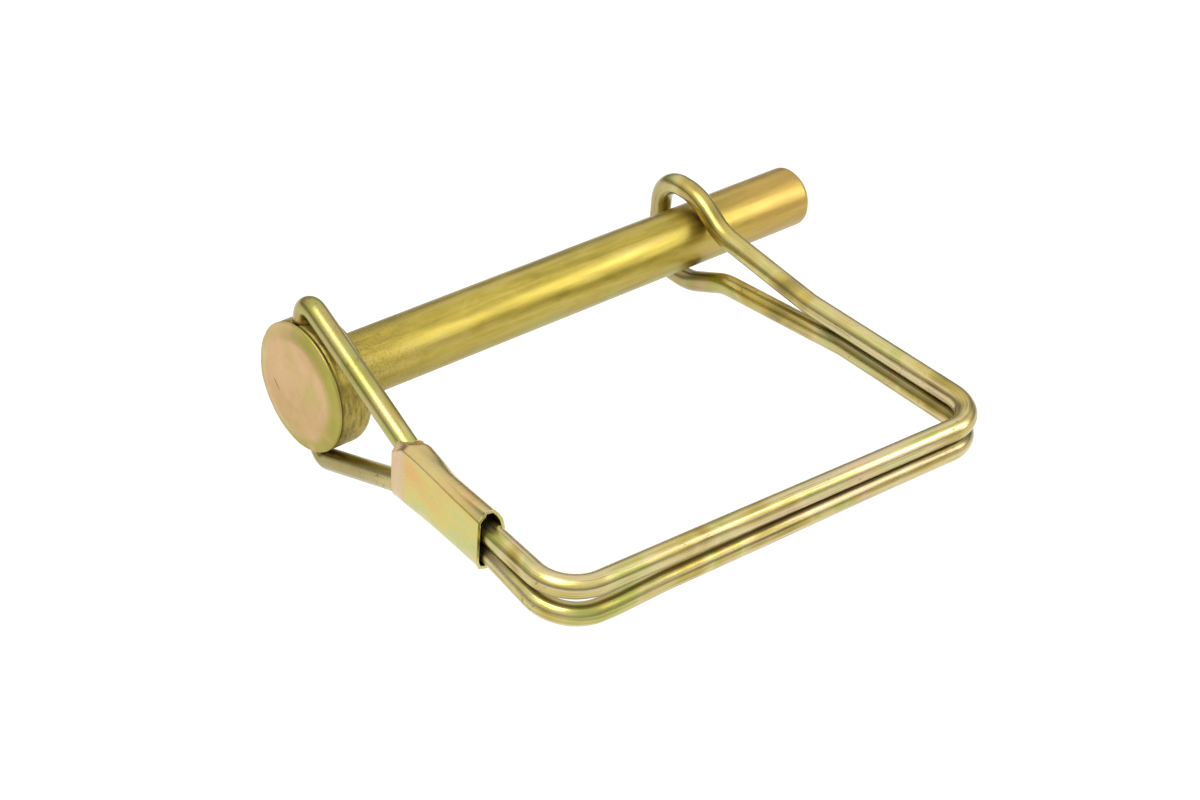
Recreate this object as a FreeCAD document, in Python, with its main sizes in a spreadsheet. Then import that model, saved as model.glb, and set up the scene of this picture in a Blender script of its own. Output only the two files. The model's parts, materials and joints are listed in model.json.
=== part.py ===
import FreeCAD, Part
import math
import os
import Sketcher

# Hitch pin lock: a one-piece headed pin and a spring-wire bail.  The pin lies along X with the
# bearing face of its head at the origin and its tip at +X.  The bail is one wire bent double,
# so it is drawn as two stacked wires, and its closed end is the loop that catches the shank.
# The wire is drawn in three bodies that meet at the spot near the far corner where it flexes.

SIZES = {
    "shank_diameter": 9.525,
    "shank_length": 88.4,
    "tip_bevel": 0.8,
    "head_diameter": 19.3,
    "head_thickness": 7.1,
    "face_bevel_depth": 0.85,
    "face_bevel_width": 2.1,
    "head_rear_round": 2.0,
    "wire_hole_land": 0.25,
    "wire_hole_play": 0.38,
    "wire_hole_tilt": 12.0,
    "wire_diameter": 3.24,
    "wire_gap": 0.04,
    "wire_end_depth": 4.6,
    "arm_tilt": 3.0,
    "bail_depth": 58.5,
    "bail_width": 73.75,
    "near_corner_round": 6.1,
    "far_corner_round": 6.1,
    "far_arm_lean": 3.35,
    "upper_leg_angle": 20.85,
    "upper_crest_inner_round": 0.74,
    "lower_leg_angle": 22.5,
    "lower_crest_inner_round": 0.24,
    "leg_meet_round": 8.0,
    "leg_straight": 6.0,
    "flex_straight": 2.7,
    "flex_gap": 0.65,
    "flex_play": 0.03,
    "loop_side_clearance": 1.43,
    "loop_end_clearance": 0.9,
    "loop_crest_reach": 1.0,
    "loop_knee_height": 3.85,
    "loop_knee_gap": 5.04,
    "loop_split_gap": 16.24,
    "loop_end_round": 5.0,
    "loop_bend_round": 9.0,
    "ferrule_corner_gap": 7.9,
    "ferrule_length": 20.5,
    "ferrule_sheet": 0.85,
    "ferrule_play": 0.04,
}

doc = FreeCAD.newDocument("hitch_pin_lock")
sheet = doc.addObject("Spreadsheet::Sheet", "Sizes")
for row, (word, value) in enumerate(SIZES.items(), start=1):
    sheet.set(f"A{row}", word)
    sheet.set(f"B{row}", str(value))
    sheet.setAlias(f"B{row}", word)
doc.recompute()


def size(word):
    return f"Sizes.{word}"


def angle(word):
    return f"(Sizes.{word} * 1 deg)"


# Formulas that several bodies share, all made from the sheet's words.
SHANK_RADIUS = f"({size('shank_diameter')} / 2)"
HEAD_RADIUS = f"({size('head_diameter')} / 2)"
WIRE_RADIUS = f"({size('wire_diameter')} / 2)"
STACK = f"(({size('wire_diameter')} + {size('wire_gap')}) / 2)"
HOLE_RADIUS = f"(({size('wire_diameter')} + {size('wire_hole_play')}) / 2)"
RIM = f"({size('head_thickness')} - {size('face_bevel_depth')})"
SETBACK = f"({RIM} - {size('wire_hole_land')} - {HOLE_RADIUS})"
FERRULE_END = (
    f"({size('bail_depth')} - {size('near_corner_round')} - {size('ferrule_corner_gap')})"
)
FERRULE_START = f"({FERRULE_END} - {size('ferrule_length')})"
FLEX_OFFSET = f"({size('far_corner_round')} + {size('flex_straight')})"
TURN = f"(({size('far_arm_lean')} - {size('arm_tilt')}) * 1 deg)"
FLEX_ACROSS = f"({size('bail_width')} - {FLEX_OFFSET} * sin({angle('far_arm_lean')}))"
FLEX_ALONG = f"({FLEX_OFFSET} * cos({angle('far_arm_lean')}) - {size('bail_depth')})"
FLEX_X = (
    f"({FLEX_ACROSS} * cos({angle('arm_tilt')}) + {FLEX_ALONG} * sin({angle('arm_tilt')})"
    f" - {SETBACK})"
)
FLEX_Y = f"({FLEX_ALONG} * cos({angle('arm_tilt')}) - {FLEX_ACROSS} * sin({angle('arm_tilt')}))"
PIN_REACH = f"(-{FLEX_Y} / cos({TURN}))"


def origin_plane(body, role):
    """One of a body's own three origin planes."""
    for item in body.Origin.OriginFeatures:
        if item.Role == role:
            return item
    raise ValueError(role)


def number(owner, formula):
    """The plain value of a formula made from the sheet's words."""
    value = owner.evalExpression(formula)
    return float(getattr(value, "Value", value))


def new_sketch(body, name, role, lift="0", stand=None):
    """A sketch on an origin plane, raised along its normal or stood by a placement formula."""
    sketch = body.newObject("Sketcher::SketchObject", name)
    sketch.AttachmentSupport = [(origin_plane(body, role), "")]
    sketch.MapMode = "FlatFace"
    if stand:
        sketch.setExpression("AttachmentOffset", stand)
    elif lift != "0":
        sketch.setExpression("AttachmentOffset.Base.z", lift)
    doc.recompute()
    return sketch


def pin_down(sketch, geometry, point, across, up):
    """Fix a point of a sketch at two formulas measured from the sketch's origin."""
    for kind, axis, formula in (("DistanceX", -2, across), ("DistanceY", -1, up)):
        if formula == "0":
            sketch.addConstraint(Sketcher.Constraint("PointOnObject", geometry, point, axis))
            continue
        start = number(sketch, formula)
        index = sketch.addConstraint(Sketcher.Constraint(kind, -1, 1, geometry, point, start))
        sketch.setExpression(f"Constraints[{index}]", formula)


def rounded_line(sketch, corners, closed=False):
    """Lines through corners (across, up, rounding), with an arc at each rounded corner."""
    flat = FreeCAD.Vector
    spots = [flat(number(sketch, a), number(sketch, b), 0) for a, b, _ in corners]
    rounds = [number(sketch, r) for _, _, r in corners]
    count = len(corners)
    inner = range(count) if closed else range(1, count - 1)
    before, after, bends = {}, {}, {}
    for i in inner:
        if rounds[i] == 0:
            continue
        come = (spots[i] - spots[i - 1]).normalize()
        leave = (spots[(i + 1) % count] - spots[i]).normalize()
        turn = math.atan2(come.x * leave.y - come.y * leave.x, come.dot(leave))
        reach = rounds[i] * math.tan(abs(turn) / 2)
        before[i] = spots[i] - come * reach
        after[i] = spots[i] + leave * reach
        side = 1 if turn > 0 else -1
        middle = before[i] + flat(-come.y, come.x, 0) * side * rounds[i]
        first, last = (before[i], after[i]) if turn > 0 else (after[i], before[i])
        begin = math.atan2(first.y - middle.y, first.x - middle.x)
        finish = math.atan2(last.y - middle.y, last.x - middle.x)
        if finish < begin:
            finish += 2 * math.pi
        circle = Part.Circle(middle, flat(0, 0, 1), rounds[i])
        bends[i] = (Part.ArcOfCircle(circle, begin, finish), 1 if turn > 0 else 2)
    sides = {}
    for i in range(count if closed else count - 1):
        j = (i + 1) % count
        line = Part.LineSegment(after.get(i, spots[i]), before.get(j, spots[j]))
        sides[i] = sketch.addGeometry(line, False)
    for i in range(count):
        arrives = sides.get((i - 1) % count)
        departs = sides.get(i)
        across, up, rounding = corners[i]
        if i not in inner:
            end = (departs, 1) if i == 0 else (arrives, 2)
            pin_down(sketch, end[0], end[1], across, up)
        elif i in bends:
            arc = sketch.addGeometry(bends[i][0], False)
            enters = bends[i][1]
            leaves = 3 - enters
            sketch.addConstraint(Sketcher.Constraint("Tangent", arrives, 2, arc, enters))
            sketch.addConstraint(Sketcher.Constraint("Tangent", departs, 1, arc, leaves))
            tie = sketch.addConstraint(Sketcher.Constraint("Radius", arc, rounds[i]))
            sketch.setExpression(f"Constraints[{tie}]", rounding)
            mark = sketch.addGeometry(Part.Point(spots[i]), True)
            sketch.addConstraint(Sketcher.Constraint("PointOnObject", mark, 1, arrives))
            sketch.addConstraint(Sketcher.Constraint("PointOnObject", mark, 1, departs))
            pin_down(sketch, mark, 1, across, up)
        else:
            sketch.addConstraint(Sketcher.Constraint("Coincident", arrives, 2, departs, 1))
            pin_down(sketch, departs, 1, across, up)
    doc.recompute()
    return sketch


def ring(sketch, across, up, radius):
    """A circle whose middle and radius follow formulas."""
    middle = FreeCAD.Vector(number(sketch, across), number(sketch, up), 0)
    start = number(sketch, radius)
    circle = sketch.addGeometry(Part.Circle(middle, FreeCAD.Vector(0, 0, 1), start), False)
    tie = sketch.addConstraint(Sketcher.Constraint("Radius", circle, start))
    sketch.setExpression(f"Constraints[{tie}]", radius)
    pin_down(sketch, circle, 3, across, up)
    doc.recompute()
    return sketch


def wire_run(body, name, spine, profile):
    """Sweep a round profile along a spine sketch."""
    pipe = body.newObject("PartDesign::AdditivePipe", name)
    pipe.Profile = profile
    pipe.Spine = (spine, [f"Edge{i + 1}" for i in range(len(spine.Shape.Edges))])
    doc.recompute()
    return pipe


def new_body(name):
    body = doc.addObject("PartDesign::Body", name)
    body.Label = name
    return body


def make_pin():
    """The pin: bevelled head, shank and bevelled tip turned in one, and the cross hole."""
    body = new_body("pin")
    section = new_sketch(body, "pin_section", "XZ_Plane")
    corners = [
        (f"-{size('head_thickness')}", "0", "0"),
        (f"-{size('head_thickness')}", f"{HEAD_RADIUS} - {size('face_bevel_width')}", "0"),
        (f"-{RIM}", HEAD_RADIUS, "0"),
        ("0", HEAD_RADIUS, size("head_rear_round")),
        ("0", SHANK_RADIUS, "0"),
        (f"{size('shank_length')} - {size('tip_bevel')}", SHANK_RADIUS, "0"),
        (size("shank_length"), f"{SHANK_RADIUS} - {size('tip_bevel')}", "0"),
        (size("shank_length"), "0", "0"),
    ]
    rounded_line(section, corners, closed=True)
    turned = body.newObject("PartDesign::Revolution", "turned_pin")
    turned.Profile = section
    turned.ReferenceAxis = (section, ["H_Axis"])
    turned.Angle = 360
    doc.recompute()
    spot = f"vector(-{SETBACK}; 0; 0)"
    turn = f"rotation(-{angle('arm_tilt')}; 0 deg; -{angle('wire_hole_tilt')})"
    hole = new_sketch(body, "wire_hole_ring", "XY_Plane", stand=f"placement({spot}; {turn})")
    ring(hole, "0", "0", HOLE_RADIUS)
    cut = body.newObject("PartDesign::Pocket", "wire_hole")
    cut.Profile = hole
    cut.Type = "ThroughAll"
    cut.Midplane = True
    doc.recompute()
    if cut.Shape.Volume >= turned.Shape.Volume:
        raise ValueError("wire_hole cuts nothing")
    return body


def place_bail(body):
    """Stand a body at the head's cross hole, turned with the bail's head arm."""
    body.setExpression("Placement.Base.x", f"-{SETBACK}")
    body.setExpression("Placement.Rotation.Angle", f"-{angle('arm_tilt')}")
    doc.recompute()


def hole_line(distance):
    """The spot at a distance up the cross hole's axis, along and above the head arm."""
    tilt = angle("wire_hole_tilt")
    return f"({distance} * sin({tilt}))", f"({distance} * cos({tilt}))"


def crest_round(which):
    """The bend of a leg's line over the head."""
    return f"({size(which + '_crest_inner_round')} + {WIRE_RADIUS})"


def leg_crest(which):
    """Where a leg's line turns over the head: its bend starts level with the head's side."""
    sign = {"upper": "+", "lower": "-"}[which]
    slope = f"({angle(which + '_leg_angle')} {sign} {angle('wire_hole_tilt')})"
    return f"({HEAD_RADIUS} + {crest_round(which)} * tan(45 deg + {slope} / 2))"


def leg_meet(which):
    """How far along the head arm a leg comes down to lie on the other wire."""
    back, height = hole_line(leg_crest(which))
    sign = {"upper": "-", "lower": "+"}[which]
    return f"(({height} - {STACK}) / tan({angle(which + '_leg_angle')}) {sign} {back})"


LEG_END = f"({leg_meet('upper')} + {size('leg_straight')})"


def make_bail_wire(which, side):
    """One of the two stacked wires, from the head's cross hole round to the flexing spot."""
    name = f"{which}_bail_wire"
    body = new_body(name)
    body.Placement.Rotation = FreeCAD.Rotation(FreeCAD.Vector(0, 0, 1), -SIZES["arm_tilt"])
    place_bail(body)
    leg_spine = new_sketch(body, f"{name}_leg_line", "YZ_Plane")
    end_back, end_height = hole_line(f"{side} * {size('wire_end_depth')}")
    crest_back, crest_height = hole_line(f"{side} * {leg_crest(which)}")
    leg = [
        (end_back, end_height, "0"),
        (crest_back, crest_height, crest_round(which)),
        (f"-{leg_meet(which)}", f"{side} * {STACK}", size("leg_meet_round")),
        (f"-{LEG_END}", f"{side} * {STACK}", "0"),
    ]
    rounded_line(leg_spine, leg)
    spot = f"vector(0; {end_back}; {end_height})"
    turn = f"rotation(0 deg; 0 deg; -{angle('wire_hole_tilt')})"
    stand = f"placement({spot}; {turn})"
    leg_ring = new_sketch(body, f"{name}_leg_ring", "XY_Plane", stand=stand)
    ring(leg_ring, "0", "0", WIRE_RADIUS)
    wire_run(body, f"{name}_leg", leg_spine, leg_ring)
    run_spine = new_sketch(body, f"{name}_run_line", "XY_Plane", f"{side} * {STACK}")
    stop = f"({FLEX_OFFSET} - {size('flex_gap')})"
    run = [
        ("0", f"-{LEG_END}", "0"),
        ("0", f"-{size('bail_depth')}", size("near_corner_round")),
        (size("bail_width"), f"-{size('bail_depth')}", size("far_corner_round")),
        (
            f"{size('bail_width')} - {stop} * sin({angle('far_arm_lean')})",
            f"{stop} * cos({angle('far_arm_lean')}) - {size('bail_depth')}",
            "0",
        ),
    ]
    rounded_line(run_spine, run)
    run_ring = new_sketch(body, f"{name}_run_ring", "XZ_Plane", LEG_END)
    ring(run_ring, "0", f"{side} * {STACK}", WIRE_RADIUS)
    wire_run(body, f"{name}_run", run_spine, run_ring)
    cup = body.newObject("PartDesign::SubtractiveSphere", f"{name}_cup")
    cup.AttachmentSupport = [(origin_plane(body, "XY_Plane"), "")]
    cup.MapMode = "FlatFace"
    cup.setExpression("Radius", f"{WIRE_RADIUS} + {size('flex_play')}")
    cup.setExpression("AttachmentOffset.Base.x", FLEX_ACROSS)
    cup.setExpression("AttachmentOffset.Base.y", FLEX_ALONG)
    cup.setExpression("AttachmentOffset.Base.z", f"{side} * {STACK}")
    doc.recompute()
    return body


def make_tip_loop():
    """The closed end of the wire: two arms that part to pass the shank and join beyond it."""
    body = new_body("tip_loop_wire")
    body.setExpression("Placement.Base.x", FLEX_X)
    body.setExpression("Placement.Base.y", FLEX_Y)
    lean = SIZES["far_arm_lean"] - SIZES["arm_tilt"]
    body.Placement.Rotation = FreeCAD.Rotation(FreeCAD.Vector(0, 0, 1), lean)
    body.setExpression("Placement.Rotation.Angle", TURN)
    doc.recompute()
    bend = size("loop_bend_round")
    height = f"({SHANK_RADIUS} + {WIRE_RADIUS} + {size('loop_side_clearance')})"
    far = f"({PIN_REACH} + {SHANK_RADIUS} + {WIRE_RADIUS} + {size('loop_end_clearance')})"
    knee = f"({PIN_REACH} - {SHANK_RADIUS} - {size('loop_knee_gap')})"
    split = f"({PIN_REACH} - {SHANK_RADIUS} - {size('loop_split_gap')})"

    def arm(side):
        return [
            ("0", f"{side} * {STACK}", "0"),
            (split, f"{side} * {STACK}", bend),
            (knee, f"{side} * {size('loop_knee_height')}", bend),
            (f"{PIN_REACH} - {size('loop_crest_reach')}", f"{side} * {height}", bend),
            (far, f"{side} * {height}", size("loop_end_round")),
        ]

    spine = new_sketch(body, "loop_line", "YZ_Plane")
    rounded_line(spine, arm("1") + arm("-1")[::-1])
    start = new_sketch(body, "loop_ring", "XZ_Plane")
    ring(start, "0", STACK, WIRE_RADIUS)
    wire_run(body, "loop_run", spine, start)
    for word, side in (("upper", "1"), ("lower", "-1")):
        ball = body.newObject("PartDesign::AdditiveSphere", f"{word}_flex_ball")
        ball.AttachmentSupport = [(origin_plane(body, "XY_Plane"), "")]
        ball.MapMode = "FlatFace"
        ball.setExpression("Radius", WIRE_RADIUS)
        ball.setExpression("AttachmentOffset.Base.z", f"{side} * {STACK}")
        doc.recompute()
    return body


def make_ferrule():
    """The crimped sheet sleeve round the two wires on the head arm."""
    body = new_body("ferrule")
    body.Placement.Rotation = FreeCAD.Rotation(FreeCAD.Vector(0, 0, 1), -SIZES["arm_tilt"])
    place_bail(body)

    def edge(which, side, grow, overrun):
        """One long edge of the sleeve's outline, following a wire at a set distance."""
        slope = f"tan({angle(which + '_leg_angle')})"
        slant = f"sqrt(1 + {slope} * {slope})"
        lift = f"({STACK} + {grow})"
        knee = f"({leg_meet(which)} + {grow} * ({slant} - 1) / {slope})"
        start = f"({FERRULE_START} - {overrun})"
        end = f"({FERRULE_END} + {overrun})"
        rise = f"({lift} + ({knee} - {start}) * {slope})"
        inner_round = f"{size('leg_meet_round')} - {grow}"
        return [
            (f"-{start}", f"{side} * {rise}", "0"),
            (f"-{knee}", f"{side} * {lift}", inner_round),
            (f"-{end}", f"{side} * {lift}", "0"),
        ]

    def outline(name, grow, overrun):
        sketch = new_sketch(body, name, "YZ_Plane")
        top = edge("upper", "1", grow, overrun)
        bottom = edge("lower", "-1", grow, overrun)
        rounded_line(sketch, top + bottom[::-1], closed=True)
        return sketch

    hollow = f"({WIRE_RADIUS} + {size('ferrule_play')})"
    solid = f"({hollow} + {size('ferrule_sheet')})"
    block = body.newObject("PartDesign::Pad", "sleeve_block")
    block.Profile = outline("sleeve_outline", solid, "0")
    block.Midplane = True
    block.setExpression("Length", f"2 * {solid}")
    doc.recompute()
    half = number(block, solid)
    long_edges = []
    for i, item in enumerate(block.Shape.Edges, start=1):
        ends = [v.Point for v in item.Vertexes]
        box = item.BoundBox
        if abs(abs(ends[0].x) - half) < 1e-4 and box.XLength < 1e-4 and box.YLength > 0.5:
            long_edges.append(f"Edge{i}")
    soft = body.newObject("PartDesign::Fillet", "sleeve_round")
    soft.Base = (block, long_edges)
    soft.setExpression("Radius", f"{solid} - 0.2")
    doc.recompute()
    cut = body.newObject("PartDesign::Pocket", "sleeve_hollow")
    cut.Profile = outline("hollow_outline", hollow, "1")
    cut.Midplane = True
    cut.setExpression("Length", f"2 * {hollow}")
    doc.recompute()
    if cut.Shape.Volume >= soft.Shape.Volume:
        raise ValueError("sleeve_hollow cuts nothing")
    return body


parts = [
    make_pin(),
    make_bail_wire("upper", "1"),
    make_bail_wire("lower", "-1"),
    make_tip_loop(),
    make_ferrule(),
]
doc.recompute()

for item in doc.Objects:
    if "Invalid" in item.State or "Error" in item.State:
        raise ValueError(f"{item.Label} did not build")
os.makedirs("parts", exist_ok=True)
for body in parts:
    if body.Shape.isNull() or not body.Shape.isValid():
        raise ValueError(f"{body.Label} has no sound shape")
    if len(body.Shape.Solids) != 1:
        raise ValueError(f"{body.Label} is not one solid")
    body.Shape.exportStep(f"parts/{body.Label}.step")
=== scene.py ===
import json
import math

import bmesh
import bpy
from mathutils import Matrix, Quaternion, Vector, noise


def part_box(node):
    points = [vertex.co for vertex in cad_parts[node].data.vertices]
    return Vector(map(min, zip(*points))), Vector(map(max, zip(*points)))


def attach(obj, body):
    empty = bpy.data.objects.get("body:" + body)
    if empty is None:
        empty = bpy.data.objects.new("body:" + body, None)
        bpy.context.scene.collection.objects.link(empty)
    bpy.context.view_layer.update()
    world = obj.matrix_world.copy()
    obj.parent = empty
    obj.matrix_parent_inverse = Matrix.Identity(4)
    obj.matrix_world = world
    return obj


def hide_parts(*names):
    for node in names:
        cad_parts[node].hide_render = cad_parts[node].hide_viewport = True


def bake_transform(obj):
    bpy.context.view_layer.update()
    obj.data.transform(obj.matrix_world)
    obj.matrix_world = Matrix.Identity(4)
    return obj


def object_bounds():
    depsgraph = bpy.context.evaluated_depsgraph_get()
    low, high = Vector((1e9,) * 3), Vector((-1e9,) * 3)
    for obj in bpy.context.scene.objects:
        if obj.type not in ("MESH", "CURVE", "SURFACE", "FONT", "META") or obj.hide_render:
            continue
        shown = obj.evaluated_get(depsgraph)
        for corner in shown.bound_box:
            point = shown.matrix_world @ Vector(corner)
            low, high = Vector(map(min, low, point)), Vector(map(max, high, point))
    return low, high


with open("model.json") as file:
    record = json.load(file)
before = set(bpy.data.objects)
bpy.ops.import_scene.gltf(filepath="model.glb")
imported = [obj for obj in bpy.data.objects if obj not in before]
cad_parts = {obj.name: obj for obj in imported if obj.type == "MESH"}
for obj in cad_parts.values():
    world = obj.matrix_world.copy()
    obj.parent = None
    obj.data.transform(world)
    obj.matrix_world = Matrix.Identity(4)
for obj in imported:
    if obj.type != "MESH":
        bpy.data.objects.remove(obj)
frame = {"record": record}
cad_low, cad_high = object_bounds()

# Looks for the hitch pin lock.  The object's lengths are written in millimetres and scaled to
# metres.  The floor, the lights and the camera are placed in metres.
MM = 0.001

# ---------------------------------------------------------------- sizes taken from the frame
pin_low, pin_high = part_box("pin")
JOINTS = {joint["name"]: joint for joint in frame["record"]["behaviour"]["joints"]}
MOUNTS = {mount["name"]: mount for mount in frame["record"]["mounts"]}
HINGE = Vector(JOINTS["bail_swing"]["pos_m"]) / MM
HOLE_AXIS = -Vector(JOINTS["bail_swing"]["axis"])
FLEX = Vector(JOINTS["loop_spring"]["pos_m"]) / MM
SHANK_RADIUS = MOUNTS["shank"]["dims"]["r_mm"]
TIP = pin_high[0] / MM
TIP_BEVEL = TIP - MOUNTS["shank"]["dims"]["length_mm"]
HEAD_RADIUS = pin_high[2] / MM

# ---------------------------------------------------------------- places on the head, along X
FACE = pin_low[0] / MM
RIM = FACE + 0.85
SIDE_END = -2.0

# ---------------------------------------------------------------- sizes of the wire and the bail
WIRE_RADIUS = 1.62
HOLE_RADIUS = WIRE_RADIUS + 0.19
STACK = WIRE_RADIUS + 0.01
WIRE_END = 4.6
ARM_TILT = math.radians(3.0)
FAR_ARM_LEAN = math.radians(3.35)
BAIL_DEPTH = 58.5
BAIL_WIDTH = 73.75
CORNER_ROUND = 6.1

# ---------------------------------------------------------------- how finely the wire is drawn
RUN_STEP = 0.8
ARC_STEP = 0.35
UV_LENGTH = 100.0


def metres(point):
    return Vector(point) * MM


def link(name, mesh):
    piece = bpy.data.objects.new(name, mesh)
    bpy.context.collection.objects.link(piece)
    return piece


# ---------------------------------------------------------------- paths and tubes
def rounded_corner(before, corner, after):
    """Points of the arc that rounds a corner.  Each corner is (point, radius) in millimetres."""
    spot = Vector(corner[0])
    back = (Vector(before[0]) - spot).normalized()
    on = (Vector(after[0]) - spot).normalized()
    half = back.angle(on) / 2
    reach = corner[1] / math.tan(half)
    middle = spot + (back + on).normalized() * corner[1] / math.sin(half)
    first = spot + back * reach - middle
    last = spot + on * reach - middle
    sweep = math.pi - 2 * half
    steps = max(3, int(corner[1] * sweep / ARC_STEP))
    points = []
    for i in range(steps + 1):
        share = i / steps
        bend = first * math.sin((1 - share) * sweep) + last * math.sin(share * sweep)
        points.append(middle + bend / math.sin(sweep))
    return points


def rounded_path(corners):
    """Points along straight runs joined by arcs."""
    points = [Vector(corners[0][0])]
    for before, corner, after in zip(corners, corners[1:], corners[2:]):
        points += rounded_corner(before, corner, after)
    points.append(Vector(corners[-1][0]))
    filled = [points[0]]
    for start, end in zip(points, points[1:]):
        length = (end - start).length
        if length < 1e-6:
            continue
        parts = max(1, round(length / RUN_STEP))
        filled += [start.lerp(end, (i + 1) / parts) for i in range(parts)]
    return filled


def ring_directions(points, around):
    """For each point of a path, the directions out to a ring that doesn't twist along it."""
    tangent = (points[1] - points[0]).normalized()
    side = tangent.orthogonal().normalized()
    last = len(points) - 1
    turns = [2 * math.pi * k / around for k in range(around)]
    rings = []
    for i in range(len(points)):
        new_tangent = (points[min(i + 1, last)] - points[max(i - 1, 0)]).normalized()
        side = (tangent.rotation_difference(new_tangent) @ side).normalized()
        tangent = new_tangent
        up = tangent.cross(side)
        rings.append([side * math.cos(turn) + up * math.sin(turn) for turn in turns])
    return rings


def tube(name, points, radius, around=40):
    """A round tube mesh along points, with flat ends and a UV map of length and turn."""
    mesh = bpy.data.meshes.new(name)
    shape = bmesh.new()
    uv = shape.loops.layers.uv.new("run")
    along = [0.0]
    for a, b in zip(points, points[1:]):
        along.append(along[-1] + (b - a).length)
    rings = []
    for point, directions in zip(points, ring_directions(points, around)):
        rings.append([shape.verts.new(metres(point + out * radius)) for out in directions])
    for i, (near, far) in enumerate(zip(rings, rings[1:])):
        for k in range(around):
            n = (k + 1) % around
            face = shape.faces.new((near[k], near[n], far[n], far[k]))
            face.smooth = True
            spots = ((i, k), (i, k + 1), (i + 1, k + 1), (i + 1, k))
            for loop, (row, column) in zip(face.loops, spots):
                loop[uv].uv = (along[row] / UV_LENGTH, column / around)
    shape.faces.new(rings[0][::-1])
    shape.faces.new(rings[-1])
    shape.normal_update()
    shape.to_mesh(mesh)
    shape.free()
    return link(name, mesh)


# ---------------------------------------------------------------- the bail's line
def on_head_arm(across, along, height):
    """A point given in the bail's own directions from the hinge, in millimetres."""
    turn = Matrix.Rotation(-ARM_TILT, 3, "Z")
    return HINGE + turn @ Vector((across, along, height))


def on_far_arm(across, along, height):
    """A point along the far arm, measured from the spot where the wire flexes."""
    turn = Matrix.Rotation(FAR_ARM_LEAN - ARM_TILT, 3, "Z")
    return FLEX + turn @ Vector((across, along, height))


def in_hole(distance):
    """A point on the axis of the head's cross hole."""
    return HINGE + HOLE_AXIS * distance


def leg(side, lean, crest, bend, meet):
    """Corners from inside the cross hole, over the head and down to the stacked run."""
    return [
        (in_hole(side * WIRE_END), 0),
        (in_hole(side * crest) + Vector((lean, 0, 0)), bend),
        (on_head_arm(0, -meet, side * STACK), 10.0),
    ]


def upper_run():
    """The upper wire dips a little in the first part of the long side."""
    return [
        (on_head_arm(0, -BAIL_DEPTH, 1.25), CORNER_ROUND),
        (on_head_arm(24.0, -BAIL_DEPTH, 1.4), 60.0),
        (on_head_arm(BAIL_WIDTH, -BAIL_DEPTH, 1.56), CORNER_ROUND),
    ]


def lower_run():
    """The lower wire hangs away from the upper one at the near corner and comes back to it."""
    return [
        (on_head_arm(0, -44.0, -STACK - 0.05), 30.0),
        (on_head_arm(0, -BAIL_DEPTH, -3.2), CORNER_ROUND),
        (on_head_arm(8.5, -BAIL_DEPTH, -3.3), 20.0),
        (on_head_arm(16.0, -BAIL_DEPTH, -2.78), 30.0),
        (on_head_arm(28.0, -BAIL_DEPTH, -2.6), 80.0),
        (on_head_arm(54.0, -BAIL_DEPTH, -2.05), 80.0),
        (on_head_arm(BAIL_WIDTH, -BAIL_DEPTH, -1.85), CORNER_ROUND),
    ]


def loop_half(side, split, knee, knee_height, half_height):
    """One half of the tip loop, from the far arm up to the bight beyond the shank."""
    reach = -FLEX.y / math.cos(FAR_ARM_LEAN - ARM_TILT)
    return [
        (on_far_arm(0, reach - split, side * STACK), 12.0),
        (on_far_arm(0.5, reach - knee, side * knee_height), 9.0),
        (on_far_arm(0.6, reach - 1.0, side * half_height), 9.0),
        (on_far_arm(0.6, reach + 6.9, side * half_height), 4.4),
    ]


def bail_corners():
    """The whole wire, from its upper end through the bight and back to its lower end."""
    upper_leg = leg(1, lean=0.0, crest=13.95, bend=2.3, meet=28.67)
    lower_leg = leg(-1, lean=0.2, crest=11.65, bend=1.8, meet=26.2)
    upper_loop = loop_half(1, split=27.0, knee=7.0, knee_height=3.5, half_height=7.35)
    lower_loop = loop_half(-1, split=35.0, knee=8.8, knee_height=4.45, half_height=7.95)
    upper = upper_leg + upper_run() + upper_loop
    lower = lower_leg + lower_run() + lower_loop
    return upper + lower[::-1]


def make_bail():
    """The one wire, bent double."""
    bail = tube("bail_wire", rounded_path(bail_corners()), WIRE_RADIUS)
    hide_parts("upper_bail_wire", "lower_bail_wire", "tip_loop_wire")
    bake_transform(bail)
    return bail


# ---------------------------------------------------------------- the pin
def arc(along, out, radius, start, end, steps):
    """Points of an arc of the pin's outline about (along, out), between two angles in degrees."""
    points = []
    for i in range(steps + 1):
        turn = math.radians(start + (end - start) * i / steps)
        points.append((along + radius * math.cos(turn), out + radius * math.sin(turn)))
    return points


def level(start, end, out, steps):
    """Points of a straight run of the pin's outline that keeps its distance from the axis."""
    return [(start + (end - start) * i / steps, out) for i in range(steps + 1)]


def face_outline():
    """The slightly hollow face and the bevel round it, as (along, outward)."""
    disc = HEAD_RADIUS - 2.1
    middle = [(0.06, 0.01), (0.04, disc * 0.3), (0.0, disc * 0.62), (0.0, disc * 0.8)]
    edge = [(0.0, disc - 0.5), (0.03, disc - 0.2), (0.12, disc + 0.08), (0.24, disc + 0.4)]
    bevel = [(0.5, disc + 1.15), (0.68, HEAD_RADIUS - 0.38)]
    return [(FACE + back, out) for back, out in middle + edge + bevel]


def rim_outline():
    """The rim and the forging line behind it: a shallow groove."""
    groove = [(0.3, 0.1), (0.4, 0.24), (0.52, 0.22), (0.7, 0.06)]
    rim = arc(RIM + 0.05, HEAD_RADIUS - 0.26, 0.26, 150, 60, 5)
    return rim + [(RIM + back, HEAD_RADIUS - depth) for back, depth in groove]


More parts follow.
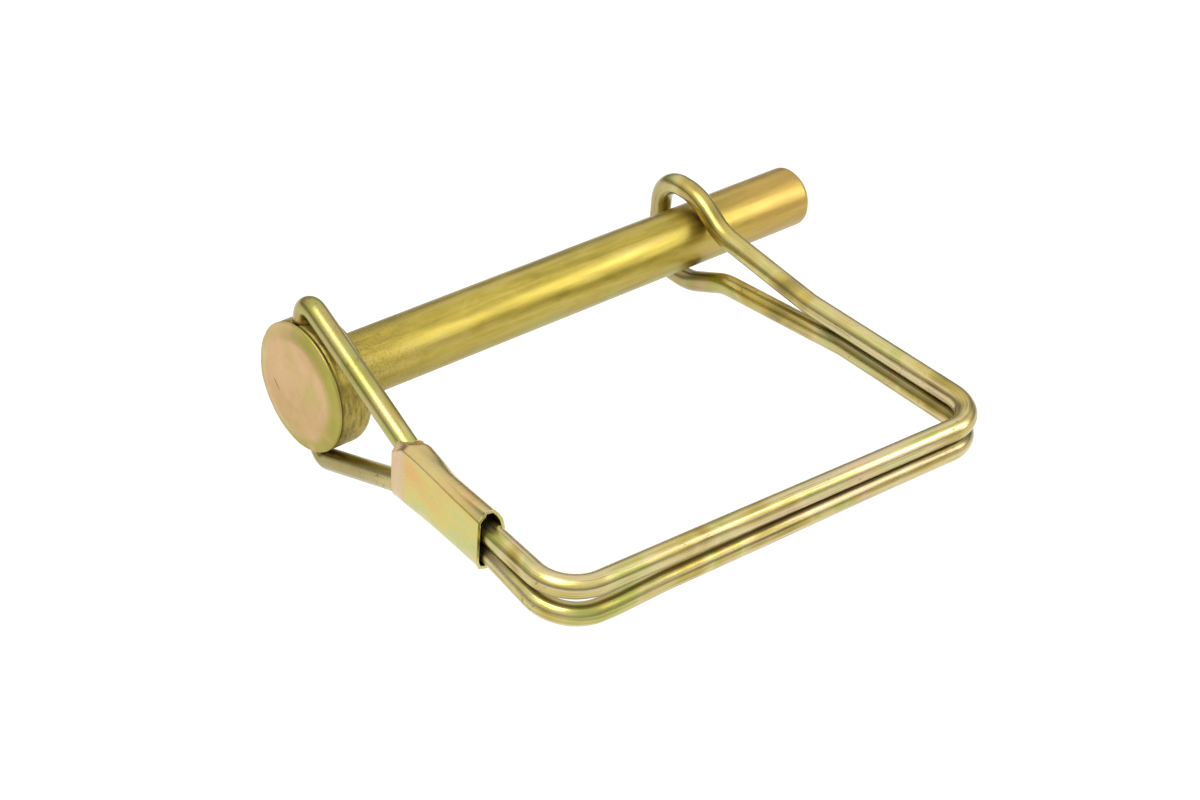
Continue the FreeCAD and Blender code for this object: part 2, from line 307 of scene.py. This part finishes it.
def pin_outline():
    """Half of the pin's section from the middle of the face to the middle of the tip."""
    outline = face_outline() + rim_outline()
    outline += level(RIM + 0.9, SIDE_END, HEAD_RADIUS - 0.03, 8)
    outline += arc(SIDE_END, HEAD_RADIUS - 2.0, 1.97, 80, 0, 8)
    outline += [(0.0, HEAD_RADIUS - 2.6), (0.0, SHANK_RADIUS + 1.6)]
    fillet = 0.5
    outline += arc(fillet, SHANK_RADIUS + fillet, fillet, 180, 270, 5)
    outline += level(1.2, TIP - TIP_BEVEL - 0.5, SHANK_RADIUS, 90)
    outline += arc(TIP - TIP_BEVEL - 0.45, SHANK_RADIUS - 0.6, 0.6, 80, 50, 3)
    outline += arc(TIP - 0.4, SHANK_RADIUS - TIP_BEVEL - 0.3, 0.38, 45, 0, 4)
    outline += [(TIP, SHANK_RADIUS * 0.6), (TIP, SHANK_RADIUS * 0.3), (TIP, 0.01)]
    return outline


def forged(point):
    """Nudge a point of the head so that it looks forged rather than turned."""
    head_end = 0.2
    if point.x > head_end:
        return point
    wave = noise.noise(point * 0.22 + Vector((3.1, 0.4, 7.7)))
    ripple = noise.noise(point * 0.7)
    return point + point.normalized() * (wave * 0.1 + ripple * 0.03)


def turned(name, outline, around=160):
    """Spin an outline about X into a closed, smooth-shaded mesh."""
    mesh = bpy.data.meshes.new(name)
    shape = bmesh.new()
    rings = []
    for along, out in outline:
        ring = []
        for k in range(around):
            turn = 2 * math.pi * k / around
            spot = Vector((along, out * math.cos(turn), out * math.sin(turn)))
            ring.append(shape.verts.new(metres(forged(spot))))
        rings.append(ring)
    for near, far in zip(rings, rings[1:]):
        for k in range(around):
            n = (k + 1) % around
            shape.faces.new((near[k], far[k], far[n], near[n]))
    shape.faces.new(rings[0])
    shape.faces.new(rings[-1][::-1])
    bmesh.ops.recalc_face_normals(shape, faces=shape.faces)
    for face in shape.faces:
        face.smooth = True
    shape.to_mesh(mesh)
    shape.free()
    return link(name, mesh)


def settle(piece):
    """Apply a piece's modifiers to its mesh."""
    seen = piece.evaluated_get(bpy.context.evaluated_depsgraph_get())
    mesh = bpy.data.meshes.new_from_object(seen)
    piece.modifiers.clear()
    piece.data = mesh


def make_pin():
    """Head, shank and tip in one, with the slanted cross hole that the wire ends sit in."""
    pin = turned("hitch_pin", pin_outline())
    beyond_head = 14.0
    drill = tube("drill", [in_hole(-beyond_head), in_hole(beyond_head)], HOLE_RADIUS, around=48)
    cut = pin.modifiers.new("cross_hole", "BOOLEAN")
    cut.object = drill
    cut.operation = "DIFFERENCE"
    cut.solver = "EXACT"
    settle(pin)
    bpy.data.objects.remove(drill)
    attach(pin, "pin")
    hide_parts("pin")
    return pin


# ---------------------------------------------------------------- the ferrule
# Distance along the arm, near side, bottom, top of the flat side, ridge, shoulder and the far
# side's spread.
SLEEVE = [
    (22.9, 2.05, -4.8, 3.1, 4.75, 4.9, 1.2),
    (26.0, 2.3, -4.45, 4.85, 5.5, 5.25, 1.2),
    (29.0, 2.3, -4.2, 4.95, 5.35, 5.05, 1.12),
    (33.3, 2.32, -3.95, 4.75, 5.3, 4.3, 1.0),
    (38.0, 2.38, -3.8, 4.45, 5.4, 4.5, 0.92),
    (43.4, 2.45, -3.72, 4.3, 5.6, 4.6, 0.88),
]
SLEEVE_START = SLEEVE[0][0]
SLEEVE_END = SLEEVE[-1][0]
ROWS = [SLEEVE_START, 23.5, 24.6, 25.7, 26.1, 27.4, 29.0, 31.0, 33.3, 35.6, 38.0, 40.6, 42.6, SLEEVE_END]
FOLD_ROW = 4
FLAT_EDGE = 3
RIDGE = 6
MOUTH_SLANT = 0.62
MOUTH_LENGTH = 5.0
MOUTH_SIDE = 2.05
SHEET = 0.45


def blend_values(stations, u):
    """Values at u, taken smoothly between the two nearest stations (u, values...)."""
    if u <= stations[0][0]:
        return stations[0][1:]
    for low, high in zip(stations, stations[1:]):
        if u <= high[0]:
            share = (u - low[0]) / (high[0] - low[0])
            share = share * share * (3 - 2 * share)
            return [a + (b - a) * share for a, b in zip(low[1:], high[1:])]
    return stations[-1][1:]


def sleeve_section(u):
    """The sleeve's outer line at a distance along the arm, as (across, height) points."""
    near, bottom, flat_top, ridge, shoulder, spread = blend_values(SLEEVE, u)
    return [
        (-near, bottom + 1.5),
        (-near, 0.0),
        (-near, flat_top - 1.0),
        (-near, flat_top - 0.12),
        (-near + 0.12, flat_top + 0.12),
        (-1.62, (flat_top + ridge) / 2 + 0.12),
        (-1.35, ridge),
        (-0.8, ridge + 0.02),
        (0.1, ridge - 0.12),
        (1.0 * spread, shoulder),
        (1.75 * spread, shoulder - 1.1),
        (2.0 * spread + 0.1, shoulder - 2.4),
        (2.12, 0.0),
        (2.1, bottom + 1.6),
        (1.55, bottom + 0.4),
        (0.5, bottom),
        (-0.9, bottom + 0.05),
        (-near + 0.4, bottom + 0.45),
    ]


def sleeve_rows(shape):
    """Rings of points along the sleeve.  The ones near its mouth slant across the arm."""
    rows = []
    for u in ROWS:
        fade = max(0.0, 1 - (u - SLEEVE_START) / MOUTH_LENGTH)
        row = []
        for across, height in sleeve_section(u):
            slant = MOUTH_SLANT * (across + MOUTH_SIDE) * fade
            row.append(shape.verts.new(metres(on_head_arm(across, -u - slant, height))))
        rows.append(row)
    return rows


def crease_sleeve(shape, rows, creases):
    """Keep both ends sharp, and the ridge, the flat side's edge and the fold by the mouth crisp."""
    for row in (rows[0], rows[-1]):
        for a, b in zip(row, row[1:] + row[:1]):
            shape.edges.get((a, b))[creases] = 1.0
    for column, sharp in ((RIDGE, 0.75), (FLAT_EDGE, 0.35)):
        for near, far in zip(rows, rows[1:]):
            fade = 0.2 if far in rows[-3:] else 1.0
            shape.edges.get((near[column], far[column]))[creases] = sharp * fade
    fold = rows[FOLD_ROW][:FLAT_EDGE + 1]
    for a, b in zip(fold, fold[1:]):
        shape.edges.get((a, b))[creases] = 0.5


def sleeve_mesh():
    """The sleeve as one open skin without thickness."""
    mesh = bpy.data.meshes.new("crimped_ferrule")
    shape = bmesh.new()
    creases = shape.edges.layers.float.new("crease_edge")
    rows = sleeve_rows(shape)
    count = len(rows[0])
    for near, far in zip(rows, rows[1:]):
        for k in range(count):
            n = (k + 1) % count
            shape.faces.new((near[k], near[n], far[n], far[k]))
    bmesh.ops.recalc_face_normals(shape, faces=shape.faces)
    crease_sleeve(shape, rows, creases)
    for face in shape.faces:
        face.smooth = True
    shape.to_mesh(mesh)
    shape.free()
    return mesh


def make_ferrule():
    """The thin sheet sleeve crimped round the two wires."""
    sleeve = link("crimped_ferrule", sleeve_mesh())
    sheet = sleeve.modifiers.new("sheet", "SOLIDIFY")
    sheet.thickness = SHEET * MM
    sheet.offset = -1
    sheet.edge_crease_rim = 0.9
    sheet.edge_crease_outer = 0.9
    sheet.edge_crease_inner = 0.9
    rounder = sleeve.modifiers.new("rounder", "SUBSURF")
    rounder.levels = 3
    rounder.render_levels = 3
    settle(sleeve)
    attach(sleeve, "bail")
    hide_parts("ferrule")
    return sleeve


# ---------------------------------------------------------------- colours of the plating
OLIVE = (0.28, 0.22, 0.045)
GOLD = (0.48, 0.375, 0.085)
STRAW = (0.57, 0.49, 0.19)
PINK = (0.58, 0.40, 0.22)
GREEN = (0.41, 0.43, 0.10)
ORANGE = (0.62, 0.38, 0.10)
# cream of a painted highlight on the wire
CREAM_HIGHLIGHT = (0.64, 0.50, 0.32)
DULL_GOLD = (0.36, 0.28, 0.05)
RICH_GOLD = (0.44, 0.34, 0.06)
BRIGHT_GOLD = (0.50, 0.40, 0.10)
COPPER = (0.52, 0.35, 0.15)
AMBER = (0.56, 0.32, 0.10)
TAN = (0.60, 0.44, 0.19)
BROWN = (0.19, 0.135, 0.05)
DIRT = (0.10, 0.07, 0.03)
GROOVE_DARK = (0.09, 0.06, 0.02)
# painted shade between the stacked wires
CREVICE_SHADE = (0.05, 0.03, 0.01)

# ladders of colour, as (value of the noise, colour there)
WIRE_LADDER = [
    (0.30, OLIVE),
    (0.42, GOLD),
    (0.50, STRAW),
    (0.56, GREEN),
    (0.63, GOLD),
    (0.72, PINK),
]
SHANK_LADDER = [
    (0.34, OLIVE),
    (0.44, DULL_GOLD),
    (0.52, RICH_GOLD),
    (0.60, BRIGHT_GOLD),
    (0.70, COPPER),
]
HEAD_SIDE_LADDER = [
    (0.32, BROWN),
    (0.46, (0.33, 0.26, 0.055)),
    (0.62, (0.46, 0.36, 0.09)),
]
RING_LADDER = [
    (0.36, (0.60, 0.42, 0.18)),
    (0.46, (0.44, 0.37, 0.09)),
    (0.60, (0.42, 0.38, 0.08)),
]
FACE_LADDER = [
    (0.34, (0.54, 0.42, 0.15)),
    (0.48, (0.62, 0.42, 0.205)),
    (0.72, (0.67, 0.46, 0.25)),
]
SHEET_LADDER = [
    (0.32, ORANGE),
    (0.42, (0.58, 0.46, 0.11)),
    (0.50, (0.56, 0.48, 0.12)),
    (0.58, (0.47, 0.48, 0.16)),
    (0.66, STRAW),
    (0.74, PINK),
]


# ---------------------------------------------------------------- materials
class Nodes:
    """A short way to write a material's node tree."""

    def __init__(self, name):
        self.material = bpy.data.materials.new(name)
        self.material.use_nodes = True
        self.tree = self.material.node_tree
        self.shader = self.tree.nodes["Principled BSDF"]

    def set(self, socket, value):
        if isinstance(value, bpy.types.NodeSocket):
            self.tree.links.new(value, socket)
        else:
            socket.default_value = value

    def give(self, channel, value):
        """Set or link one of the shader's own sockets."""
        self.set(self.shader.inputs[channel], value)

    def node(self, kind, inputs=None, **settings):
        made = self.tree.nodes.new(kind)
        for key, value in settings.items():
            setattr(made, key, value)
        for key, value in (inputs or {}).items():
            self.set(made.inputs[key], value)
        return made

    def math(self, operation, a, b=0.0):
        return self.node("ShaderNodeMath", {0: a, 1: b}, operation=operation).outputs[0]

    def plus(self, a, b):
        return self.math("ADD", a, b)

    def times(self, a, b):
        return self.math("MULTIPLY", a, b)

    def larger(self, a, b):
        return self.math("MAXIMUM", a, b)

    def away(self, value, spot):
        """How far a value is from a spot, on either side."""
        return self.math("ABSOLUTE", self.math("SUBTRACT", value, spot))

    def split(self, vector):
        """The X, Y and Z of a vector."""
        return tuple(self.node("ShaderNodeSeparateXYZ", {"Vector": vector}).outputs)

    def mix(self, share, a, b):
        made = self.node("ShaderNodeMix", data_type="RGBA", blend_type="MIX")
        self.set(made.inputs[0], share)
        self.set(made.inputs[6], a)
        self.set(made.inputs[7], b)
        return made.outputs[2]

    def tint(self, colour, share, over):
        """Lay one plain colour over another by a share."""
        return self.mix(share, colour, (*over, 1))

    def noise(self, place, scale, detail=3.0, rough=0.5, warp=0.0):
        inputs = {"Vector": place, "Scale": scale, "Detail": detail, "Roughness": rough, "Distortion": warp}
        return self.node("ShaderNodeTexNoise", inputs).outputs["Fac"]

    def stretch(self, place, x, y, z):
        return self.node("ShaderNodeMapping", {"Vector": place, "Scale": (x, y, z)}).outputs["Vector"]

    def ramp(self, value, low, high, start=0.0, end=1.0):
        """Start at the low value and end at the high one, and level beyond them."""
        inputs = {"Value": value, "From Min": low, "From Max": high, "To Min": start, "To Max": end}
        return self.node("ShaderNodeMapRange", inputs, clamp=True).outputs["Result"]

    def colours(self, value, ladder):
        made = self.node("ShaderNodeValToRGB", {"Fac": value})
        steps = made.color_ramp.elements
        while len(steps) < len(ladder):
            steps.new(1.0)
        for step, (spot, colour) in zip(steps, ladder):
            step.position = spot
            step.color = (*colour, 1)
        return made.outputs["Color"]

    def bump(self, height, strength, distance, under=None):
        """Bumps of a height in millimetres, over another set of bumps if there is one."""
        inputs = {"Height": height, "Strength": strength, "Distance": distance * MM}
        if under is not None:
            inputs["Normal"] = under
        return self.node("ShaderNodeBump", inputs).outputs["Normal"]

    def millimetres(self):
        """The surface's own position in millimetres, the same in every pose of the piece."""
        spot = self.node("ShaderNodeTexCoord").outputs["Object"]
        return self.stretch(spot, 1 / MM, 1 / MM, 1 / MM)

    def plate(self, film):
        """Metal under the thin glossy film of the passivate."""
        self.give("Metallic", 1.0)
        self.give("Coat Weight", film)
        self.give("Coat Roughness", 0.12)


def wire_body(made):
    """Length and turn of the wire as a rod in space, so that lines run along it without a seam."""
    run = made.node("ShaderNodeUVMap", uv_map="run").outputs["UV"]
    along, turn, _ = made.split(run)
    angle = made.times(turn, 2 * math.pi)
    inputs = {"X": along, "Y": made.math("COSINE", angle), "Z": made.math("SINE", angle)}
    return made.node("ShaderNodeCombineXYZ", inputs).outputs[0]


def wire_sheen_stripes(made, colour, stripes, y):
    """Painted highlight in cream stripes, strongest away from the head, and painted dark reflection in
    olive stripes between them.
    """
    painted_highlight = made.times(made.ramp(stripes, 0.46, 0.60), made.ramp(y, -20.0, -38.0, 0.1, 0.85))
    colour = made.tint(colour, painted_highlight, CREAM_HIGHLIGHT)
    return made.tint(colour, made.ramp(stripes, 0.42, 0.32, 0.0, 0.5), OLIVE)


def wire_shade(made, colour, x, y, z):
    """Painted shade: brown on the low leg and the bight, dark between the wires, olive on the head arm."""
    low = made.times(made.ramp(z, -2.6, -7.0, 0.0, 0.5), made.ramp(y, -40.0, -30.0))
    bight = made.times(made.ramp(y, 2.0, 7.0, 0.0, 0.5), made.ramp(x, 40.0, 50.0))
    colour = made.tint(colour, made.larger(low, bight), BROWN)
    between_wires = made.ramp(made.away(z, -0.4), 0.8, 0.3, 0.0, 0.6)
    colour = made.tint(colour, made.times(between_wires, made.ramp(y, -26.0, -32.0)), CREVICE_SHADE)
    head_arm = made.times(made.ramp(y, -26.0, -16.0, 0.0, 0.5), made.ramp(x, 20.0, 10.0))
    return made.tint(colour, head_arm, OLIVE)


def wire_material():
    """Drawn spring wire: glossy, with fine lines along it, stains and a few scuffs."""
    made = Nodes("plated_spring_wire")
    body = wire_body(made)
    place = made.millimetres()
    x, y, z = made.split(place)
    shift = made.node("ShaderNodeVectorMath", {0: place, 1: (31.0, 5.0, 2.0)}, operation="ADD")
    colour = made.colours(made.noise(shift.outputs[0], 0.075, 2.0, 0.55, 0.6), WIRE_LADDER)
    stripes = made.noise(made.stretch(body, 3.0, 3.2, 3.2), 1.0, 2.0, 0.6)
    # painted highlight and painted dark reflection, in stripes along the wire
    colour = wire_sheen_stripes(made, colour, stripes, y)
    lines = made.noise(made.stretch(body, 6.0, 9.0, 9.0), 1.0, 3.0, 0.65)
    colour = made.tint(colour, made.ramp(lines, 0.60, 0.66, 0.0, 0.85), BROWN)
    # painted shade on the low leg, the bight, between the wires and on the head arm
    colour = wire_shade(made, colour, x, y, z)
    specks = made.noise(place, 1.6, 4.0, 0.7)
    stains = made.noise(place, 0.16, 2.0)
    dirt = made.times(made.ramp(specks, 0.58, 0.68), made.ramp(stains, 0.5, 0.62))
    made.give("Base Color", made.tint(colour, made.times(dirt, 0.7), DIRT))
    made.plate(0.3)
    made.give("Roughness", made.plus(made.ramp(lines, 0.4, 0.7, 0.27, 0.4), made.times(dirt, 0.3)))
    made.give("Normal", made.bump(specks, 0.12, 0.03, under=made.bump(lines, 0.35, 0.03)))
    return made.material


def shank_colour(made, place, mottle, x, z):
    """Long streaks, more orange towards the tip, with a green bloom and painted shade in brown underneath.
    """
    streaks = made.noise(made.stretch(place, 0.035, 0.55, 0.55), 1.0, 4.0, 0.6, 0.4)
    blend = made.plus(made.times(streaks, 0.65), made.times(mottle, 0.35))
    colour = made.colours(blend, SHANK_LADDER)
    colour = made.tint(colour, made.times(made.ramp(x, TIP - 26, TIP - 8), 0.45), AMBER)
    bloom = made.noise(place, 0.18, 2.0)
    green = made.times(made.ramp(bloom, 0.5, 0.62), made.ramp(z, 0.5, -2.5))
    colour = made.tint(colour, made.times(green, 0.6), GREEN)
    # painted shade: darker brown towards the underside
    return made.tint(colour, made.ramp(z, 1.0, -4.0, 0.0, 0.4), BROWN)


def scale_cover(made, x, z):
    """Where forging scale is left: close to the head, and thinner along the underside."""
    near_head = made.times(made.ramp(x, 14.0, 3.0), made.ramp(x, -0.5, 0.5))
    under = made.times(made.ramp(z, 1.0, -3.0), made.ramp(x, 30.0, 10.0, 0.0, 0.8))
    return made.larger(near_head, under)


def head_side_colour(made, place):
    """The head's side is darker than the shank and scratched."""
    return made.colours(made.noise(made.stretch(place, 1.6, 0.5, 0.5), 1.0, 4.0, 0.7), HEAD_SIDE_LADDER)


def ring_colour(made, place, y):
    """The bevel round the face is yellow-green, and tan on one side."""
    ring = made.colours(made.noise(place, 0.12, 2.0), RING_LADDER)
    return made.tint(ring, made.ramp(y, -2.0, 6.0, 0.0, 0.85), TAN)


def forging_line(made, x):
    """Darker colour in the groove behind the rim."""
    return made.times(made.ramp(x, RIM + 0.2, RIM + 0.3), made.ramp(x, RIM + 0.65, RIM + 0.47))


def tick_mark(made, y, z):
    """A short slanted tick on the face."""
    middle_y = 4.6
    middle_z = -1.6
    slope = made.times(made.math("SUBTRACT", y, middle_y), 0.9)
    off_line = made.math("ABSOLUTE", made.math("SUBTRACT", made.math("SUBTRACT", z, middle_z), slope))
    return made.times(made.ramp(off_line, 0.24, 0.08), made.ramp(made.away(y, middle_y), 0.8, 0.5))


def pin_material():
    """Passivated steel bar: long streaks on the shank, scale near the head, a pink face."""
    made = Nodes("plated_pin_steel")
    place = made.millimetres()
    x, y, z = made.split(place)
    out = made.math("SQRT", made.plus(made.times(y, y), made.times(z, z)))
    mottle = made.noise(made.stretch(place, 0.35, 1.0, 1.0), 0.45, 4.0, 0.65, 0.5)
    grain = made.noise(made.stretch(place, 1.0, 1.2, 1.2), 2.6, 5.0, 0.75)
    scaly = scale_cover(made, x, z)
    head = made.ramp(x, 0.3, -0.3)
    front = made.ramp(x, RIM + 0.25, RIM + 0.1)
    disc = made.times(made.ramp(out, HEAD_RADIUS - 1.4, HEAD_RADIUS - 2.5), front)
    colour = shank_colour(made, place, mottle, x, z)
    speck = made.times(made.ramp(grain, 0.50, 0.62), scaly)
    colour = made.tint(colour, made.times(speck, 0.75), BROWN)
    colour = made.mix(head, colour, head_side_colour(made, place))
    colour = made.mix(front, colour, ring_colour(made, place, y))
    colour = made.mix(disc, colour, made.colours(made.noise(place, 0.2, 3.0, 0.6, 0.4), FACE_LADDER))
    colour = made.tint(colour, made.times(forging_line(made, x), 0.8), GROOVE_DARK)
    mark = made.times(tick_mark(made, y, z), front)
    made.give("Base Color", made.tint(colour, made.times(mark, 0.75), BROWN))
    made.plate(0.1)
    rough = made.plus(made.ramp(mottle, 0.35, 0.7, 0.36, 0.48), made.times(scaly, 0.14))
    made.give("Roughness", made.plus(rough, made.times(head, 0.12)))
    scratch = made.noise(made.stretch(place, 0.5, 5.0, 5.0), 1.0, 3.0, 0.7)
    pits = made.times(grain, made.plus(scaly, made.times(head, 0.25)))
    made.give("Normal", made.bump(pits, 0.5, 0.12, under=made.bump(scratch, 0.18, 0.04)))
    return made.material


def ferrule_material():
    """Smooth sheet: broad rainbow patches, with a painted pink highlight along the crease and at the mouth.
    """
    made = Nodes("plated_sheet")
    place = made.millimetres()
    _, y, z = made.split(place)
    broad = made.noise(made.stretch(place, 0.10, 0.09, 0.13), 1.0, 1.0, 0.5, 0.2)
    colour = made.colours(broad, SHEET_LADDER)
    # painted highlight: pink along the ridge crease and on the angled strip at the mouth
    crease = made.times(made.ramp(z, 4.2, 4.8), 0.5)
    mouth = made.ramp(y, -26.6, -26.0, 0.0, 0.75)
    colour = made.tint(colour, made.larger(crease, mouth), PINK)
    wear = made.noise(place, 1.4, 4.0, 0.7)
    made.give("Base Color", made.tint(colour, made.ramp(wear, 0.62, 0.75, 0.0, 0.4), BROWN))
    made.plate(0.3)
    made.give("Roughness", made.ramp(wear, 0.3, 0.7, 0.24, 0.36))
    dents = made.bump(made.noise(place, 0.35, 2.0), 0.25, 0.3)
    made.give("Normal", made.bump(wear, 0.08, 0.05, under=dents))
    return made.material


# ---------------------------------------------------------------- floor, light and camera
FLOOR = cad_low[2] - 0.05
FLOOR_REACH = 3.0
CAMERA_SPOT = (-0.17746, -0.24732, 0.20684)
CAMERA_TARGET = (0.02605, -0.02644, 0.0)
CAMERA_ROLL = 4.31
CAMERA_LENS = 78.22
LAMP_TARGET = (0.03, -0.03, 0)


def make_floor():
    """A plain white floor, lit mostly from within so that it stays pale under the piece."""
    made = Nodes("floor_white")
    made.give("Base Color", (0.3, 0.3, 0.3, 1))
    made.give("Roughness", 0.9)
    made.give("Emission Color", (1, 1, 1, 1))
    made.give("Emission Strength", 0.7)
    mesh = bpy.data.meshes.new("floor")
    signs = [(-1, -1), (1, -1), (1, 1), (-1, 1)]
    corners = [(x * FLOOR_REACH, y * FLOOR_REACH, FLOOR) for x, y in signs]
    mesh.from_pydata(corners, [], [(0, 1, 2, 3)])
    mesh.materials.append(made.material)
    link("floor", mesh)


def make_world():
    """A soft white room that is dimmer towards the horizon, so the metal has contrast."""
    world = bpy.data.worlds.new("studio")
    bpy.context.scene.world = world
    world.use_nodes = True
    tree = world.node_tree
    place = tree.nodes.new("ShaderNodeTexCoord")
    split = tree.nodes.new("ShaderNodeSeparateXYZ")
    tree.links.new(place.outputs["Generated"], split.inputs["Vector"])
    height = tree.nodes.new("ShaderNodeMapRange")
    height.interpolation_type = "SMOOTHSTEP"
    height.inputs["From Min"].default_value = 0.05
    height.inputs["From Max"].default_value = 0.62
    height.inputs["To Min"].default_value = 0.12
    height.inputs["To Max"].default_value = 1.15
    tree.links.new(split.outputs["Z"], height.inputs["Value"])
    tree.links.new(height.outputs["Result"], tree.nodes["Background"].inputs["Strength"])
    tree.nodes["Background"].inputs["Color"].default_value = (1, 1, 1, 1)


def aim(thing, spot, target, roll=0.0):
    """Stand a camera or lamp at a spot, looking at a target, rolled by degrees."""
    look = (Vector(target) - Vector(spot)).to_track_quat("-Z", "Y")
    thing.location = spot
    thing.rotation_mode = "QUATERNION"
    thing.rotation_quaternion = look @ Quaternion((0, 0, 1), math.radians(roll))


def softbox(name, spot, wide, tall, power):
    lamp = bpy.data.lights.new(name, "AREA")
    lamp.shape = "RECTANGLE"
    lamp.size = wide
    lamp.size_y = tall
    lamp.energy = power
    aim(link(name, lamp), spot, LAMP_TARGET)


def make_camera():
    lens = bpy.data.cameras.new("camera")
    lens.sensor_width = 36
    lens.lens = CAMERA_LENS
    lens.clip_start = 0.01
    camera = link("camera", lens)
    aim(camera, CAMERA_SPOT, CAMERA_TARGET, CAMERA_ROLL)
    bpy.context.scene.camera = camera
    bpy.context.scene.view_settings.view_transform = "Standard"


# ---------------------------------------------------------------- the whole scene
bail = make_bail()
pin = make_pin()
ferrule = make_ferrule()
bail.data.materials.append(wire_material())
pin.data.materials.clear()
pin.data.materials.append(pin_material())
ferrule.data.materials.append(ferrule_material())
make_floor()
make_world()
softbox("key", (-0.35, -0.10, 0.75), wide=0.45, tall=0.45, power=4.2)
softbox("side", (0.55, -0.45, 0.35), wide=0.25, tall=0.5, power=1.6)
make_camera()
